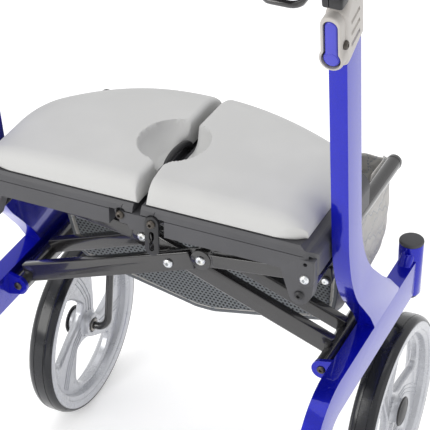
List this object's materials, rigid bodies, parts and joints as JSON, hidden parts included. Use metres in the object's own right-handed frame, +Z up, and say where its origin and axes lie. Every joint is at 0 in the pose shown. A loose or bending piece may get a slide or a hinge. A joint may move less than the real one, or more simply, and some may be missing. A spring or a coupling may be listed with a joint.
{
  "type": "folding four wheeled walking frame",
  "caption": "Walking frame on wheels with height-adjustable handles, loop brakes, a split lift-to-fold seat with a hand recess, crossed arms and a hanging cloth bag.",
  "frame": {"origin": "on the floor, at the centre of the footprint", "axes": "+X to the user's right, +Y the way it is pushed, +Z up"},
  "size_m": [0.5476, 0.6858, 0.948],
  "materials": {
    "frame_blue": "candy coat, glossy",
    "arm_black": "glossy powder coat",
    "tray_charcoal": "fine moulded grain",
    "small_black": "matte",
    "tyre_black": "matte rubber",
    "wheel_silver": "silver moulded plastic",
    "bolt_zinc": "zinc plated",
    "pad_grey": "soft moulded foam skin",
    "bag_cloth": "quilted cloth and mesh",
    "casing_grey": "satin",
    "lever_blue": "glossy",
    "tube_silver": "satin anodised",
    "grip_rubber": "soft grip"
  },
  "bodies": {
    "frame_right": {"side_frame_right": "frame_blue", "head_cap_right": "small_black", "pivot_bolt_right": "bolt_zinc", "clamp_casing_right": "casing_grey", "backrest_bracket_right": "small_black"},
    "caster_right": {"caster_fork_right": "arm_black"},
    "front_wheel_right": {"front_tyre_right": "tyre_black", "front_rim_right": "wheel_silver", "front_hub_cap_right": "small_black"},
    "rear_wheel_right": {"rear_tyre_right": "tyre_black", "rear_rim_right": "wheel_silver", "rear_hub_cap_right": "small_black"},
    "handle_right": {"handle_tube_right": "tube_silver", "hand_grip_right": "grip_rubber", "brake_housing_right": "small_black"},
    "brake_right": {"brake_lever_right": "arm_black"},
    "shoe_right": {"brake_shoe_right": "small_black"},
    "clamp_right": {"clamp_lever_right": "lever_blue"},
    "arm_right": {"cross_arm_right": "arm_black", "knee_bolt_left": "bolt_zinc"},
    "rail_right": {"seat_rail_right": "arm_black", "rail_clip_right": "bolt_zinc", "tray_bolt_right": "bolt_zinc"},
    "tray_right": {"seat_tray_right": "tray_charcoal", "seat_pad_right": "pad_grey"},
    "frame_left": {"side_frame_left": "frame_blue", "head_cap_left": "small_black", "pivot_bolt_left": "bolt_zinc", "clamp_casing_left": "casing_grey", "backrest_bracket_left": "small_black"},
    "caster_left": {"caster_fork_left": "arm_black"},
    "front_wheel_left": {"front_tyre_left": "tyre_black", "front_rim_left": "wheel_silver", "front_hub_cap_left": "small_black"},
    "rear_wheel_left": {"rear_tyre_left": "tyre_black", "rear_rim_left": "wheel_silver", "rear_hub_cap_left": "small_black"},
    "handle_left": {"handle_tube_left": "tube_silver", "hand_grip_left": "grip_rubber", "brake_housing_left": "small_black"},
    "brake_left": {"brake_lever_left": "arm_black"},
    "shoe_left": {"brake_shoe_left": "small_black"},
    "clamp_left": {"clamp_lever_left": "lever_blue"},
    "arm_left": {"cross_arm_left": "arm_black", "knee_bolt_right": "bolt_zinc", "centre_bolt": "bolt_zinc"},
    "rail_left": {"seat_rail_left": "arm_black", "rail_clip_left": "bolt_zinc", "tray_bolt_left": "bolt_zinc"},
    "tray_left": {"seat_tray_left": "tray_charcoal", "seat_pad_left": "pad_grey"},
    "bridge": {"seat_bridge": "tray_charcoal", "pull_handle": "small_black", "hinge_pin_right": "bolt_zinc", "hinge_pin_left": "bolt_zinc"},
    "link": {"fold_link": "small_black"},
    "bag": {"bag": "bag_cloth"}
  },
  "joints": [
    {"name": "fold", "type": "hinge", "parent": "frame_left", "child": "arm_left", "pos_m": [-0.201, 0.01775, 0.324], "axis": [0, -1, 0], "range_deg": [0, 28]},
    {"name": "cross_pivot", "type": "hinge", "parent": "arm_left", "child": "arm_right", "pos_m": [0, 0.03075, 0.40844], "axis": [0, -1, 0], "range_deg": [-56, 0]},
    {"name": "right_lower_pivot", "type": "hinge", "parent": "arm_right", "child": "frame_right", "pos_m": [0.201, 0.01775, 0.324], "axis": [0, -1, 0], "range_deg": [0, 28]},
    {"name": "knee_pivot_right", "type": "hinge", "parent": "arm_left", "child": "rail_right", "pos_m": [0.042, 0.03075, 0.424], "axis": [0, -1, 0], "range_deg": [0, 45]},
    {"name": "knee_pivot_left", "type": "hinge", "parent": "arm_right", "child": "rail_left", "pos_m": [-0.042, 0.04775, 0.424], "axis": [0, -1, 0], "range_deg": [-45, 0]},
    {"name": "rail_pivot_right", "type": "hinge", "parent": "rail_right", "child": "tray_right", "pos_m": [0.196, -0.02625, 0.471], "axis": [0, -1, 0], "range_deg": [-146, 0]},
    {"name": "rail_pivot_left", "type": "hinge", "parent": "rail_left", "child": "tray_left", "pos_m": [-0.196, -0.02625, 0.471], "axis": [0, -1, 0], "range_deg": [0, 146]},
    {"name": "bridge_pivot", "type": "hinge", "parent": "tray_right", "child": "bridge", "pos_m": [0.02, -0.04725, 0.517], "axis": [0, -1, 0], "range_deg": [0, 73]},
    {"name": "link_pivot", "type": "hinge", "parent": "bridge", "child": "link", "pos_m": [0.02, -0.04725, 0.517], "axis": [0, -1, 0], "range_deg": [-30, 30]},
    {"name": "bag_hanger", "type": "hinge", "parent": "rail_right", "child": "bag", "pos_m": [0.196, -0.02625, 0.471], "axis": [0, -1, 0], "range_deg": [-73, 0], "deforming": ["bag"]},
    {"name": "caster_swivel_right", "type": "hinge", "parent": "frame_right", "child": "caster_right", "pos_m": [0.225, 0.25875, 0.288], "axis": [0, 0, 1], "continuous": true},
    {"name": "front_wheel_spin_right", "type": "hinge", "parent": "caster_right", "child": "front_wheel_right", "pos_m": [0.225, 0.21675, 0.127], "axis": [1, 0, 0], "continuous": true},
    {"name": "rear_wheel_spin_right", "type": "hinge", "parent": "frame_right", "child": "rear_wheel_right", "pos_m": [0.256, -0.24225, 0.1015], "axis": [1, 0, 0], "continuous": true},
    {"name": "handle_slide_right", "type": "slide", "parent": "frame_right", "child": "handle_right", "axis": [0, -0.134, 0.991], "range_m": [-0.04, 0.07]},
    {"name": "clamp_pivot_right", "type": "hinge", "parent": "frame_right", "child": "clamp_right", "pos_m": [0.225, -0.05104, 0.80832], "axis": [-1, 0, 0], "range_deg": [0, 80]},
    {"name": "brake_squeeze_right", "type": "hinge", "parent": "handle_right", "child": "brake_right", "pos_m": [0.225, -0.08744, 0.906], "axis": [-1, 0, 0], "range_deg": [0, 8], "stiffness_Nm_per_rad": 0.6, "springref_deg": -114.59},
    {"name": "shoe_pivot_right", "type": "hinge", "parent": "frame_right", "child": "shoe_right", "pos_m": [0.256, -0.1575, 0.18926], "axis": [1, 0, 0], "range_deg": [0, 3.2]},
    {"name": "caster_swivel_left", "type": "hinge", "parent": "frame_left", "child": "caster_left", "pos_m": [-0.225, 0.25875, 0.288], "axis": [0, 0, 1], "continuous": true},
    {"name": "front_wheel_spin_left", "type": "hinge", "parent": "caster_left", "child": "front_wheel_left", "pos_m": [-0.225, 0.21675, 0.127], "axis": [1, 0, 0], "continuous": true},
    {"name": "rear_wheel_spin_left", "type": "hinge", "parent": "frame_left", "child": "rear_wheel_left", "pos_m": [-0.256, -0.24225, 0.1015], "axis": [1, 0, 0], "continuous": true},
    {"name": "handle_slide_left", "type": "slide", "parent": "frame_left", "child": "handle_left", "axis": [0, -0.134, 0.991], "range_m": [-0.04, 0.07]},
    {"name": "clamp_pivot_left", "type": "hinge", "parent": "frame_left", "child": "clamp_left", "pos_m": [-0.225, -0.05104, 0.80832], "axis": [-1, 0, 0], "range_deg": [0, 80]},
    {"name": "brake_squeeze_left", "type": "hinge", "parent": "handle_left", "child": "brake_left", "pos_m": [-0.225, -0.08744, 0.906], "axis": [-1, 0, 0], "range_deg": [0, 8], "stiffness_Nm_per_rad": 0.6, "springref_deg": -114.59},
    {"name": "shoe_pivot_left", "type": "hinge", "parent": "frame_left", "child": "shoe_left", "pos_m": [-0.256, -0.1575, 0.18926], "axis": [1, 0, 0], "range_deg": [0, 3.2]}
  ],
  "couplings": [
    {"joint": "cross_pivot", "follows": "fold", "ratio": -2},
    {"joint": "right_lower_pivot", "follows": "fold", "ratio": 1},
    {"joint": "knee_pivot_right", "follows": "fold", "ratio": 1.6},
    {"joint": "knee_pivot_left", "follows": "fold", "ratio": -1.6},
    {"joint": "rail_pivot_right", "follows": "fold", "ratio": -5.2},
    {"joint": "rail_pivot_left", "follows": "fold", "ratio": 5.2},
    {"joint": "bridge_pivot", "follows": "fold", "ratio": 2.6},
    {"joint": "bag_hanger", "follows": "fold", "ratio": -2.6},
    {"joint": "shoe_pivot_right", "follows": "brake_squeeze_right", "ratio": 0.375},
    {"joint": "shoe_pivot_left", "follows": "brake_squeeze_left", "ratio": 0.375}
  ]
}
